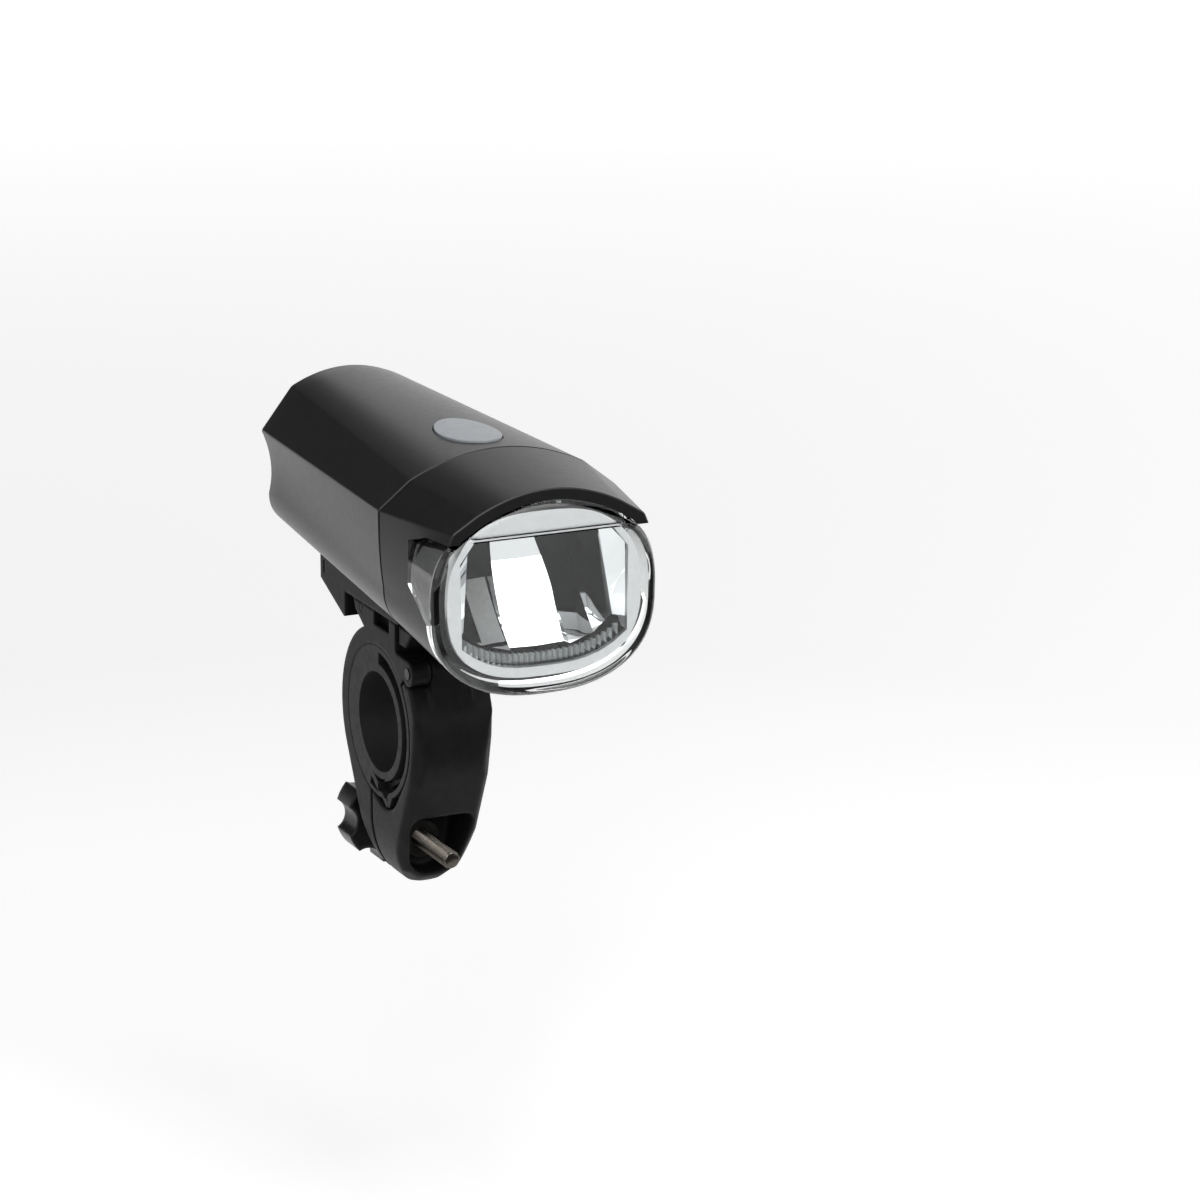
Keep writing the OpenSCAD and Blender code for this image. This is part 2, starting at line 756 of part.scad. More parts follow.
// Bar along the mirror's lower edge, with a row of upright flutes in front
module flute_strip() {
    pitch = 1;
    flutes = 35;
    end = pitch * flutes / 2;
    back = bezel_y[1] + 3.7;
    low = [for (i = [0:24]) let (x = end * (1 - i / 12)) [x, flute_low(x) + 0.05]];
    color("#d8dadd")
    intersection() {
        translate([0, 0, 20])
            linear_extrude(30)
                polygon(concat(
                    [for (i = [0:2 * flutes]) [-end + i * pitch / 2, bezel_y[1] + (i % 2 == 0 ? 0.6 : 0.1)]],
                    [[end, back], [-end, back]]));
        along_y(bezel_y[1] - 1, back + 1)
            polygon(concat(low, [for (i = [24:-1:0]) low[i] + [0, flute_h]]));
    }
}

module led_emitter() {
    color("#f2e9b0")
    translate([0, focus.x, 0]) {
        translate([-2.5, -2.5, 58.3])
            cube([5, 5, 1]);
        intersection() {
            translate([0, 0, 58.4])
                sphere(1.8);
            translate([-3, -3, 55])
                cube([6, 6, 3.4]);
        }
    }
}

module led_board() {
    color("#e8e8e8")
    translate([-8, -60.8, 59.3])
        cube([16, 10.8, 1.6]);
}

module heat_sink() {
    color("#b8bcc0")
    translate([-10, -60.8, 60.9]) {
        cube([20, 14, 1.4]);
        for (i = [0:4])
            translate([4 + i * 2.7, 0, 1])
                cube([1.2, 14, 2.2]);
    }
}

module driver_board() {
    color("#2c6b3c")
    difference() {
        translate([-11.4, -42.5, board_top - 1.6])
            cube([22.8, 22.5, 1.6]);
        for (s = [-1, 1])
            translate([s * 9.6, -38, 50])
                cylinder(r = 0.9, h = 20);
    }
    color("#3a3a3c")
    for (p = [[-6.4, -37], [3.2, -38]])
        translate([p.x, p.y, board_top])
            cube([4.2, 4.2, 2.2]);
}

module tact_switch() {
    color("#2a2a2b")
    translate([-3, button_y - 3, board_top])
        cube([6, 6, 1.1]);
    color("silver")
    translate([0, button_y, board_top])
        cylinder(r = 1.7, h = 1.7);
}

module body_seal() {
    y0 = seam_y + 0.8;
    y1 = seam_y + 2.4;
    out = shell_t + 0.1;
    deep = shell_t + 1.1;
    color("#1d1d1f")
    skin([
        body_ring(y0, deep), body_ring(y0, out + 0.4), body_ring(mix(y0, y1, 0.3), out),
        body_ring(mix(y0, y1, 0.7), out), body_ring(y1, out + 0.4), body_ring(y1, deep)
    ], loop = true);
}

// Flat wall across the inside of the housing, from y0 to y1
module bulkhead(y0, y1, d) {
    intersection() {
        along_y(y0, y1)
            polygon(inset(section(keys_at(y1)), d));
        translate([-40, y0 - 1, 0])
            cube([80, y1 - y0 + 2, 63.2]);
    }
}

module battery_carrier() {
    front_wall = bay_y[0] - contact_t;
    rear_wall = bay_y[1] + contact_t;
    flange = [-44, -42.5];
    color("#2f2f32")
    difference() {
        union() {
            bulkhead(front_wall - 1.5, front_wall, 3);
            bulkhead(rear_wall, rear_wall + 1.5, 3);
            // flange that closes the back of the head
            along_y(flange[0], flange[1])
                polygon(inset(section(keys_at(seam_y)), 4.35));
            // rails beside the cells and the rib between them
            for (s = [-1, 1])
                translate([s * 14.4 - 0.8, front_wall - 1, 48.5])
                    cube([1.6, rear_wall - front_wall + 2, 4.5]);
            translate([0, 0, 52.7])
                rod_y(1.2, front_wall - 1, rear_wall + 1);
            // tray under the driver board
            for (s = [-1, 1])
                translate([s * 10.4 - 1, flange[0] + 0.5, 56.6])
                    cube([2, front_wall - flange[0] - 1, board_top - 1.6 - 56.6]);
        }
        // lead hole in the flange
        translate([0, 0, 50])
            rod_y(3, flange[0] - 1, flange[1] + 1);
    }
}

module batteries() {
    nub_l = 1.3;
    for (i = [0:2])
        translate([cell_pos[i].x, 0, cell_pos[i].y]) {
            flip = i == 1;
            y0 = flip ? bay_y[1] - cell_l + nub_l : bay_y[0];
            color(i == 2 ? "#6a6d70" : "#55585c")
            if (flip) {
                rod_y(cell_r, bay_y[1] - cell_l, bay_y[1] - nub_l);
                rod_y(2.7, bay_y[1] - nub_l - 1, bay_y[1]);
            } else {
                rod_y(cell_r, y0 + nub_l, y0 + cell_l);
                rod_y(2.7, y0, y0 + nub_l + 1);
            }
        }
}

module battery_springs() {
    slack = (spring_l - battery_coil[2] * battery_coil[3]) / 2;
    color("silver")
    for (i = [0:2])
        translate([cell_pos[i].x, i == 1 ? bay_y[0] + slack : bay_y[1] - slack, cell_pos[i].y])
            rotate([i == 1 ? -90 : 90, 0, 0])
                coil(battery_coil[0], battery_coil[1], battery_coil[2], battery_coil[3], battery_coil[4]);
}

module contact_plates() {
    color("silver")
    for (p = cell_pos, y = [bay_y[0] - contact_t, bay_y[1]])
        translate([p.x, 0, p.y])
            rod_y(5.2, y, y + contact_t);
}

clamp_bracket();
front_jaw();
hinge_pin();
rubber_liner();
clamp_bolt();
clamp_knob();
thrust_washer();
clamp_nut();
release_latch();
latch_pin();
latch_spring();
mount_shoe();
shoe_screws();
rear_housing();
button();
front_head();
lens();
bezel();
reflector();
mirror_cheeks();
flute_strip();
shade_plate();
led_board();
led_emitter();
heat_sink();
driver_board();
tact_switch();
body_seal();
battery_carrier();
batteries();
battery_springs();
contact_plates();
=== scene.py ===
"""Bike headlight on its handlebar clamp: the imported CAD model, dressed for a studio picture."""

import json
import math

import bmesh
import bpy
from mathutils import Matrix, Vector


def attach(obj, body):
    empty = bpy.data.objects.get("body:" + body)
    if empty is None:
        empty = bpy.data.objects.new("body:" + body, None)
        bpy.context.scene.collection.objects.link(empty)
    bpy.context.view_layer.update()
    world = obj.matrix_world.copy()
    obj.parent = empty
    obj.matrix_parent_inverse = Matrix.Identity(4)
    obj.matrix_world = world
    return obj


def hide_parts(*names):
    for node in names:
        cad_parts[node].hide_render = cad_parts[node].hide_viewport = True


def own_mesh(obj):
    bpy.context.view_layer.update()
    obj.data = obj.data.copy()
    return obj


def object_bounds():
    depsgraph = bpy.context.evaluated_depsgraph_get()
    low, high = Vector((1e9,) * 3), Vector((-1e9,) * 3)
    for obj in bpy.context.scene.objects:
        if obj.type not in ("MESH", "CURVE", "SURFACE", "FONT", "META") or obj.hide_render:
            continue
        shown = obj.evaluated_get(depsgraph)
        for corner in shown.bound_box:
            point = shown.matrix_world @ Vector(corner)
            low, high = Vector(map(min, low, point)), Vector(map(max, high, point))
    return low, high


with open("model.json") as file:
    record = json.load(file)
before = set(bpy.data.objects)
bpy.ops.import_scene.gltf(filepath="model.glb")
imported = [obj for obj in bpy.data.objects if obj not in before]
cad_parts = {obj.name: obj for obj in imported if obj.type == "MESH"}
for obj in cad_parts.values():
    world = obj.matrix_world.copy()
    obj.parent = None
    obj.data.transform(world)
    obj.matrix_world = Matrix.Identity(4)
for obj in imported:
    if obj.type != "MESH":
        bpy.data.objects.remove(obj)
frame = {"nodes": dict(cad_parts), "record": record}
cad_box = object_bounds()
nodes = frame["nodes"]

MM = 0.001
GRAIN_DEPTH = 0.00006     # of moulded plastic, in metres
JOIN_DISTANCE = 0.000005  # between points that are one, in metres

# Camera fitted to the photograph: angles in degrees, lengths in mm, pixels of a 1200 x 1200 frame.
FRAME_PX = 1200
CAMERA_AZIMUTH = -25.0
CAMERA_ELEVATION = 15.62
CAMERA_DISTANCE = 1058.9
FOCAL_PX = 4860.4
ORIGIN_PX = (417.6, 716.3)


# Materials

def new_material(name):
    """An empty material with a Principled shader; returns (material, nodes, links, shader)."""
    mat = bpy.data.materials.new(name)
    mat.use_nodes = True
    tree = mat.node_tree
    return mat, tree.nodes, tree.links, tree.nodes["Principled BSDF"]


def noise(tree_nodes, tree_links, scale, detail=3.0, stretch=(1, 1, 1)):
    """Noise in the object's own coordinates, in metres; returns its value socket."""
    where = tree_nodes.new("ShaderNodeTexCoord")
    mapping = tree_nodes.new("ShaderNodeMapping")
    mapping.inputs["Scale"].default_value = stretch
    tex = tree_nodes.new("ShaderNodeTexNoise")
    tex.inputs["Scale"].default_value = scale
    tex.inputs["Detail"].default_value = detail
    tree_links.new(where.outputs["Object"], mapping.inputs["Vector"])
    tree_links.new(mapping.outputs["Vector"], tex.inputs["Vector"])
    return tex.outputs["Fac"]


def spread(tree_nodes, tree_links, value, low, high, start=0.3, end=0.7):
    """The value, from start to end, spread between low and high."""
    ramp = tree_nodes.new("ShaderNodeMapRange")
    ramp.inputs["From Min"].default_value = start
    ramp.inputs["From Max"].default_value = end
    ramp.inputs["To Min"].default_value = low
    ramp.inputs["To Max"].default_value = high
    tree_links.new(value, ramp.inputs["Value"])
    return ramp.outputs["Result"]


def tint(tree_nodes, tree_links, value, dark, light, start=0.3, end=0.7):
    """A colour between dark and light, by the value from start to end."""
    ramp = tree_nodes.new("ShaderNodeValToRGB")
    ramp.color_ramp.elements[0].position = start
    ramp.color_ramp.elements[0].color = (*dark, 1)
    ramp.color_ramp.elements[1].position = end
    ramp.color_ramp.elements[1].color = (*light, 1)
    tree_links.new(value, ramp.inputs["Fac"])
    return ramp.outputs["Color"]


def math_node(tree_nodes, tree_links, operation, a, b):
    """The result of one operation; a and b are sockets or numbers."""
    node = tree_nodes.new("ShaderNodeMath")
    node.operation = operation
    for socket, value in zip(node.inputs, (a, b)):
        if isinstance(value, (int, float)):
            socket.default_value = value
        else:
            tree_links.new(value, socket)
    return node.outputs[0]


def bump(tree_nodes, tree_links, shader, value, strength, depth, edge):
    """Fine relief from the value, depth in metres, over edges rounded to the given radius in mm."""
    node = tree_nodes.new("ShaderNodeBump")
    node.inputs["Strength"].default_value = strength
    node.inputs["Distance"].default_value = depth
    tree_links.new(value, node.inputs["Height"])
    tree_links.new(node.outputs["Normal"], shader.inputs["Normal"])
    if edge:
        soft = tree_nodes.new("ShaderNodeBevel")
        soft.samples = 6
        soft.inputs["Radius"].default_value = edge * MM
        tree_links.new(soft.outputs["Normal"], node.inputs["Normal"])


def moulded(name, dark, light, rough, grain=2500, relief=0.12, specular=0.5, edge=0.0):
    """Moulded plastic: a spark-eroded grain, and colour and roughness that drift a little."""
    mat, n, k, shader = new_material(name)
    shader.inputs["Specular IOR Level"].default_value = specular
    k.new(tint(n, k, noise(n, k, 400), dark, light), shader.inputs["Base Color"])
    k.new(spread(n, k, noise(n, k, 700), rough[0], rough[1]), shader.inputs["Roughness"])
    bump(n, k, shader, noise(n, k, grain, 2), relief, GRAIN_DEPTH, edge)
    return mat


def metal(name, dark, light, rough, stretch=(1, 1, 1), scale=400):
    """Metal whose colour and roughness follow a fine drawn or brushed streak."""
    mat, n, k, shader = new_material(name)
    shader.inputs["Metallic"].default_value = 1.0
    grain = noise(n, k, scale, 3, stretch)
    k.new(tint(n, k, grain, dark, light), shader.inputs["Base Color"])
    k.new(spread(n, k, grain, rough[0], rough[1]), shader.inputs["Roughness"])
    return mat


def one_sided(name, outside, inside):
    """Moulded plate left dark on the side away from the middle of the light, and coated on the other."""
    mat, n, k, shader = new_material(name)
    spot, face = n.new("ShaderNodeSeparateXYZ"), n.new("ShaderNodeSeparateXYZ")
    k.new(n.new("ShaderNodeTexCoord").outputs["Object"], spot.inputs["Vector"])
    k.new(n.new("ShaderNodeNewGeometry").outputs["Normal"], face.inputs["Vector"])
    inward = math_node(n, k, "MULTIPLY", spot.outputs["X"], face.outputs["X"])
    inward = math_node(n, k, "LESS_THAN", inward, 0)
    k.new(tint(n, k, inward, outside, inside, 0, 1), shader.inputs["Base Color"])
    k.new(spread(n, k, noise(n, k, 900), 0.14, 0.2), shader.inputs["Roughness"])
    return mat


def clear_plastic(name):
    """Clear moulded plastic with a faint unevenness of its surface."""
    mat, n, k, shader = new_material(name)
    shader.inputs["Base Color"].default_value = (0.97, 0.985, 0.985, 1)
    shader.inputs["Transmission Weight"].default_value = 1.0
    shader.inputs["Specular IOR Level"].default_value = 0.2
    shader.inputs["IOR"].default_value = 1.49
    k.new(spread(n, k, noise(n, k, 90), 0.0, 0.03), shader.inputs["Roughness"])
    return mat


BODY = moulded("body_plastic", (0.0055, 0.0055, 0.006), (0.0075, 0.0075, 0.008),
               (0.30, 0.34), 2500, 0.06, 0.3)
CLAMP = moulded("clamp_plastic", (0.008, 0.008, 0.0085), (0.011, 0.011, 0.0115),
                (0.40, 0.46), 2500, 0.08, 0.08, 1.2)
KNOB = moulded("knob_plastic", (0.005, 0.005, 0.0055), (0.007, 0.007, 0.0075),
               (0.26, 0.32), 2500, 0.05, 0.2, 1.1)
RUBBER = moulded("rubber", (0.007, 0.007, 0.0075), (0.011, 0.011, 0.0115),
                 (0.55, 0.65), 1800, 0.15, 0.3, 0.3)
BUTTON = moulded("button_plastic", (0.27, 0.285, 0.305), (0.30, 0.315, 0.335),
                 (0.34, 0.42), 1800, 0.05, 0.25, 0.4)
INNER = moulded("inner_plastic", (0.012, 0.012, 0.013), (0.02, 0.02, 0.021), (0.5, 0.6), specular=0.3)
SHADE = moulded("shade_black", (0.002, 0.002, 0.002), (0.004, 0.004, 0.004),
                (0.6, 0.7), 900, 0.01, 0.05)
SIDE_WALL = one_sided("side_wall", (0.012, 0.012, 0.012), (0.86, 0.87, 0.88))
BOARD = moulded("circuit_board", (0.02, 0.11, 0.05), (0.03, 0.15, 0.07), (0.3, 0.4))
WHITE_BOARD = moulded("led_board", (0.74, 0.74, 0.72), (0.80, 0.80, 0.78), (0.4, 0.5))
EMITTER = moulded("emitter", (0.85, 0.70, 0.20), (0.9, 0.78, 0.3), (0.2, 0.3))
JACKET = moulded("cell_jacket", (0.10, 0.11, 0.125), (0.13, 0.14, 0.155), (0.2, 0.28), 600, 0.02)
STEEL = metal("steel", (0.075, 0.068, 0.058), (0.11, 0.10, 0.088), (0.20, 0.26), scale=1500)
DARK_STEEL = metal("dark_steel", (0.035, 0.034, 0.032), (0.06, 0.058, 0.055), (0.32, 0.44))
NICKEL = metal("nickel", (0.62, 0.62, 0.60), (0.74, 0.74, 0.72), (0.14, 0.24))
SILVER = metal("satin_silver", (0.58, 0.585, 0.59), (0.64, 0.645, 0.65), (0.36, 0.44), scale=900)
ALUMINIUM = metal("aluminium", (0.55, 0.56, 0.57), (0.66, 0.67, 0.68), (0.3, 0.42), (1, 12, 1))
MIRROR = metal("mirror", (0.88, 0.89, 0.90), (0.92, 0.93, 0.94), (0.0, 0.01), scale=60)
FLUTES = metal("fluted_mirror", (0.42, 0.43, 0.43), (0.50, 0.51, 0.51), (0.10, 0.16), scale=300)
# Darker, rougher mirror for the patch on the left band that paints a grey reflection
SATIN_PAINTED_REFLECTION = metal("satin_painted_reflection_mirror", (0.50, 0.51, 0.51), (0.58, 0.59, 0.59), (0.34, 0.40), scale=900)
CLEAR = clear_plastic("clear_plastic")

SLOT_MATERIAL = {
    "clamp_black": CLAMP, "body_black": BODY, "steel": STEEL, "rubber": RUBBER, "button_grey": BUTTON,
    "clear": CLEAR, "satin_silver": SILVER, "mirror": MIRROR, "white_board": WHITE_BOARD,
    "emitter": EMITTER, "aluminium": ALUMINIUM, "green_board": BOARD, "black_gloss": INNER,
    "inner_black": INNER, "cell_jacket": JACKET, "nickel": NICKEL,
}
SLOT_OF = {s["node"]: s["material_slot"] for s in frame["record"]["subparts"]}

for name, node in nodes.items():
    node.data.materials.clear()
    node.data.materials.append(SLOT_MATERIAL[SLOT_OF[name]])

OWN_FINISH = {
    "hinge_pin": DARK_STEEL, "clamp_nut": DARK_STEEL, "clamp_knob": KNOB, "shade_plate": SHADE,
    "mirror_cheeks": SIDE_WALL, "flute_strip": FLUTES,
}
for name, finish in OWN_FINISH.items():
    nodes[name].data.materials[0] = finish


def smooth_by_angle(limit):
    """Geometry nodes that join split points and shade smoothly, but for edges sharper than limit degrees."""
    group = bpy.data.node_groups.new("smooth_by_angle", "GeometryNodeTree")
    for way in ("INPUT", "OUTPUT"):
        group.interface.new_socket("Geometry", in_out=way, socket_type="NodeSocketGeometry")
    n, k = group.nodes, group.links
    join = n.new("GeometryNodeMergeByDistance")
    join.inputs["Distance"].default_value = JOIN_DISTANCE
    plain = n.new("GeometryNodeRemoveAttribute")
    plain.inputs["Name"].default_value = "custom_normal"
    faces = n.new("GeometryNodeSetShadeSmooth")
    angle = n.new("GeometryNodeInputMeshEdgeAngle")
    gentle = n.new("FunctionNodeCompare")
    gentle.operation = "LESS_THAN"
    gentle.inputs["B"].default_value = math.radians(limit)
    edges = n.new("GeometryNodeSetShadeSmooth")
    edges.domain = "EDGE"
    chain = [n.new("NodeGroupInput"), join, plain, faces, edges, n.new("NodeGroupOutput")]
    for a, b in zip(chain, chain[1:]):
        k.new(a.outputs["Geometry"], b.inputs["Geometry"])
    k.new(angle.outputs["Unsigned Angle"], gentle.inputs["A"])
    k.new(gentle.outputs["Result"], edges.inputs["Shade Smooth"])
    return group


SMOOTH = smooth_by_angle(28)
for name, node in nodes.items():
    node.modifiers.new("smooth", "NODES").node_group = SMOOTH


# Shapes of the light's body, in mm, from the same sections as the CAD model

SEAM_Y, REAR_Y, FACE_Y, VISOR_Y = -44.0, 40.0, -68.0, -70.0
SHELL_T, HEAD_T = 2.0, 2.4
REAR_KEYS = (70.4, (12.9, 67), (20.2, 57.6), (16.8, 50.2), (18.7, 43.3), 33.5)
SEAM_KEYS = (70.2, (19.6, 65.3), (26.7, 59.7), (26.8, 49.5), (25.8, 43.3), 29.5)
FACE_KEYS = (67.6, (16.3, 63.4), (21.7, 60), (24.6, 53), (25, 43), 23.3)
CROWN_N, SIDE_N, KEEL_N, CORNER_N = 14, 14, 30, 6
KEEL_POWER = 2.4
MIRROR_HW, PANEL_HW = 18.8, 6.2
FLUTE_H = 3.2


def mix(a, b, t):
    """A number or nested tuple the share t of the way from a to b."""
    if isinstance(a, tuple):
        return tuple(mix(p, q, t) for p, q in zip(a, b))
    return a + (b - a) * t


def keys_at(y):
    """The body's section keys at y."""
    if y >= SEAM_Y:
        return mix(SEAM_KEYS, REAR_KEYS, (y - SEAM_Y) / (REAR_Y - SEAM_Y))
    return mix(SEAM_KEYS, FACE_KEYS, (SEAM_Y - y) / (SEAM_Y - FACE_Y))


def half_section(k):
    """Right half of a section from crown to keel, as (x, z)."""
    top, upper, lower, waist, hip, low = k
    pts = []
    for i in range(CROWN_N + 1):
        t = i / CROWN_N
        pts.append((upper[0] * t, top - (top - upper[1]) * t * t))
    pts.append(lower)
    for i in range(1, SIDE_N + 1):
        t = i / SIDE_N
        pts.append(mix(mix(lower, waist, t), mix(waist, hip, t), t))
    for i in range(1, KEEL_N + 1):
        a = math.pi / 2 * i / KEEL_N
        pts.append((hip[0] * max(math.cos(a), 0) ** (2 / KEEL_POWER),
                    mix(hip[1], low, math.sin(a) ** (2 / KEEL_POWER))))
    return pts


def inset(pts, d):
    """A closed section moved in by d, with mitred corners."""
    def inward(a, b):
        dx, dz = b[0] - a[0], b[1] - a[1]
        size = math.hypot(dx, dz)
        return dz / size, -dx / size
    moved = []
    for i, p in enumerate(pts):
        m = inward(pts[i - 1], p)
        q = inward(p, pts[(i + 1) % len(pts)])
        scale = d / (1 + m[0] * q[0] + m[1] * q[1])
        moved.append((p[0] + scale * (m[0] + q[0]), p[1] + scale * (m[1] + q[1])))
    return moved


def ring(k, y, d, corner=0.5):
    """A whole section at y, moved in by d, with its four bevel corners rounded."""
    half = half_section(k)
    pts = inset(half + [(-x, z) for x, z in half[-2:0:-1]], d)
    count = len(pts)
    corners = {CROWN_N, CROWN_N + 1, count - CROWN_N, count - CROWN_N - 1}
    out = []
    for i, p in enumerate(pts):
        if i not in corners:
            out.append((p[0], y, p[1]))
            continue
        ends = []
        for other in (pts[i - 1], pts[(i + 1) % count]):
            size = math.hypot(other[0] - p[0], other[1] - p[1])
            ends.append(mix(p, other, min(corner / size, 0.85)))
        for j in range(CORNER_N):
            t = j / (CORNER_N - 1)
            x, z = mix(mix(ends[0], p, t), mix(p, ends[1], t), t)
            out.append((x, y, z))
    return out


def body_ring(y, d, corner=0.5):
    return ring(keys_at(y), y, d, corner)


def lens_ring(y, d):
    """The lens stays under the visor and flush with the head's sides."""
    top, upper, lower, waist, hip, low = keys_at(y)
    k = (top - HEAD_T - 0.2, (upper[0] - 1, upper[1] - 2.4), (lower[0] - 1.7, lower[1] - 2.3),
         (waist[0] + 1, waist[1] + 0.8), hip, low)
    return ring(k, y, d, 3.0)


def skin(rings, loop=False):
    """Vertices in metres, and faces, of sections joined in order."""
    n, m = len(rings[0]), len(rings)
    verts = [(x * MM, y * MM, z * MM) for r in rings for x, y, z in r]
    faces = []
    for k in range(m if loop else m - 1):
        a, b = k * n, (k + 1) % m * n
        for i in range(n):
            j = (i + 1) % n
            faces.append((a + i, a + j, b + j, b + i))
    if not loop:
        faces.append(tuple(range(n - 1, -1, -1)))
        faces.append(tuple((m - 1) * n + i for i in range(n)))
    return verts, faces


def prism(outline, low, high, axis):
    """Vertices in metres, and faces, of an outline in the two other axes, extruded along x or z."""
    n = len(outline)
    verts = []
    for level in (low, high):
        for u, v in outline:
            verts.append((level * MM, u * MM, v * MM) if axis == "x" else (u * MM, v * MM, level * MM))
    faces = [(i, (i + 1) % n, n + (i + 1) % n, n + i) for i in range(n)]
    return verts, faces + [tuple(range(n - 1, -1, -1)), tuple(range(n, 2 * n))]


def new_object(name, verts, faces):
    """A mesh object whose faces all look outwards."""
    mesh = bpy.data.meshes.new(name)
    mesh.from_pydata(verts, [], faces)
    bm = bmesh.new()
    bm.from_mesh(mesh)
    bmesh.ops.recalc_face_normals(bm, faces=bm.faces)
    bm.to_mesh(mesh)
    bm.free()
    obj = bpy.data.objects.new(name, mesh)
    bpy.context.scene.collection.objects.link(obj)
    return obj


def cut(obj, shape, operation):
    """Applies a boolean with a throw-away shape."""
    tool = new_object("tool", *shape)
    mod = obj.modifiers.new("cut", "BOOLEAN")
    mod.operation = operation
    mod.solver = "EXACT"
    mod.object = tool
    whole = obj.evaluated_get(bpy.context.evaluated_depsgraph_get())
    mesh = bpy.data.meshes.new_from_object(whole)
    obj.modifiers.clear()
    old = obj.data
    obj.data = mesh
    bpy.data.meshes.remove(old)
    used = tool.data
    bpy.data.objects.remove(tool)
    bpy.data.meshes.remove(used)
    mesh.name = obj.name


def shade(obj, sharp=30):
    """Smooth shading, with the edges over the given angle left crisp."""
    bm = bmesh.new()
    bm.from_mesh(obj.data)
    bmesh.ops.remove_doubles(bm, verts=bm.verts, dist=1e-7)
    for face in bm.faces:
        face.smooth = True
    for edge in bm.edges:
        edge.smooth = edge.calc_face_angle(math.pi) < math.radians(sharp)
    bm.to_mesh(obj.data)
    bm.free()


def place(obj, body, material, slot, *replaced):
    """Gives a piece its material, sets it on its body and hides the CAD nodes that it stands for. The slot is
    not used.
    """
    obj.data.materials.clear()
    obj.data.materials.append(material)
    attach(obj, body)
    if replaced:
        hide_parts(*replaced)


def spaced(a, b, count):
    """Values from a to b in count equal steps."""
    return [mix(a, b, i / count) for i in range(count + 1)]


def quarter(count):
    """Angles of a quarter turn in count equal steps."""
    return [math.pi / 2 * i / count for i in range(count + 1)]


def housing_shell():
    """Rear housing: hollow, tapered, with a broken edge at the seam and a rounded rear end."""
    end_r, rim, points = 1.6, 0.25, 96
    button_hw, button_hl, button_y = 6.55, 11.05, -28.7
    rings = [body_ring(y, SHELL_T, 0.3) for y in spaced(REAR_Y - SHELL_T, SEAM_Y, 6)]
    rings += [body_ring(SEAM_Y, rim), body_ring(SEAM_Y + rim, 0)]
    rings += [body_ring(y, 0) for y in spaced(SEAM_Y + rim, REAR_Y - end_r, 14)[1:-1]]
    rings += [body_ring(REAR_Y - end_r * (1 - math.sin(a)), end_r * (1 - math.cos(a))) for a in quarter(8)]
    obj = new_object("housing_shell", *skin(rings))
    turn = [math.tau * i / points for i in range(points)]
    oval = [(button_hw * math.cos(a), button_y + button_hl * math.sin(a)) for a in turn]
    cut(obj, prism(oval, 60, 80, "z"), "DIFFERENCE")
    # Flat pad that the shoe is screwed to
    pad = [(-12.5, 30.6), (31.7, 30.6), (31.7, 34.5), (-12.5, 32.3)]
    cut(obj, prism(pad, -9.6, 9.6, "x"), "UNION")
    # Shallow track in the keel, for the latch tooth as the light slides off
    track = [(-40, 25), (-30, 25), (-30, 30.05), (-40, 30.05)]
    cut(obj, prism(track, -3.4, 3.4, "x"), "DIFFERENCE")
    shade(obj)
    place(obj, "light", BODY, "body_black", "rear_housing")


def lens_edge(g):
    """Side view of the line where the lens takes over from the head, moved back by g."""
    return [(-61.5 + g, 57.6 + g), (-55.6 + g, 55.8 + g), (-56.7 + g, 47.2), (-64.6 + g, 40.2),
            (-64.2 + g, 30), (-63.5 + g, 10)]


def head_shell():
    """Head with its visor, cut away where the lens wraps round."""
    rim, back = 0.25, SEAM_Y - 0.3
    rings = [body_ring(y, 0) for y in spaced(VISOR_Y + rim, back - rim, 10)]
    rings += [body_ring(back, rim)]
    deep, thick, groove = SHELL_T + 0.25, 4.2, (SEAM_Y + 0.7, SEAM_Y + 2.5)
    steps = [(back, deep), (groove[0], deep), (groove[0], deep + 0.9), (groove[1], deep + 0.9),
             (groove[1], deep), (SEAM_Y + 3.2, deep), (SEAM_Y + 3.2, thick), (SEAM_Y, thick), (-50, thick),
             (-50, HEAD_T), (VISOR_Y, HEAD_T), (VISOR_Y, rim)]
    rings += [body_ring(y, d, 0.3) for y, d in steps]
    obj = new_object("head_shell", *skin(rings, loop=True))
    cut(obj, prism([(-90, 10), (-90, 57.75)] + lens_edge(0.15), -40, 40, "x"), "DIFFERENCE")
    shade(obj)
    place(obj, "head", BODY, "body_black", "front_head")


def clear_lens():
    """Lens: flat pane, thick rounded rim and walls that run back as side windows."""
    front, inside, rim, wall, back = -68.8, -67.1, 2.2, 1.9, -54.0
    rings = [lens_ring(front + rim * (1 - math.cos(a)), rim * (1 - math.sin(a))) for a in quarter(12)]
    rings += [lens_ring(y, 0) for y in spaced(front + rim, back, 8)[1:]]
    rings += [lens_ring(y, wall) for y in spaced(back, inside, 8)]
    obj = new_object("clear_lens", *skin(rings))
    cut(obj, prism([(-90, 10), (-90, 80), (-61.5, 80)] + lens_edge(0), -40, 40, "x"), "INTERSECT")
    shade(obj)
    place(obj, "head", CLEAR, "clear", "lens")


def deep_y(x, z):
    """Depth of the mirror's outer bands."""
    return -47.5 - (60 - z) ** 2 / 44 - 2.4 * (x / MIRROR_HW) ** 2


def flute_low(x):
    """Lower edge of the fluted bar, which rises towards its ends."""
    end = 18.4
    return 29.45 + 5.4 * (min(abs(x), end) / end) ** 3


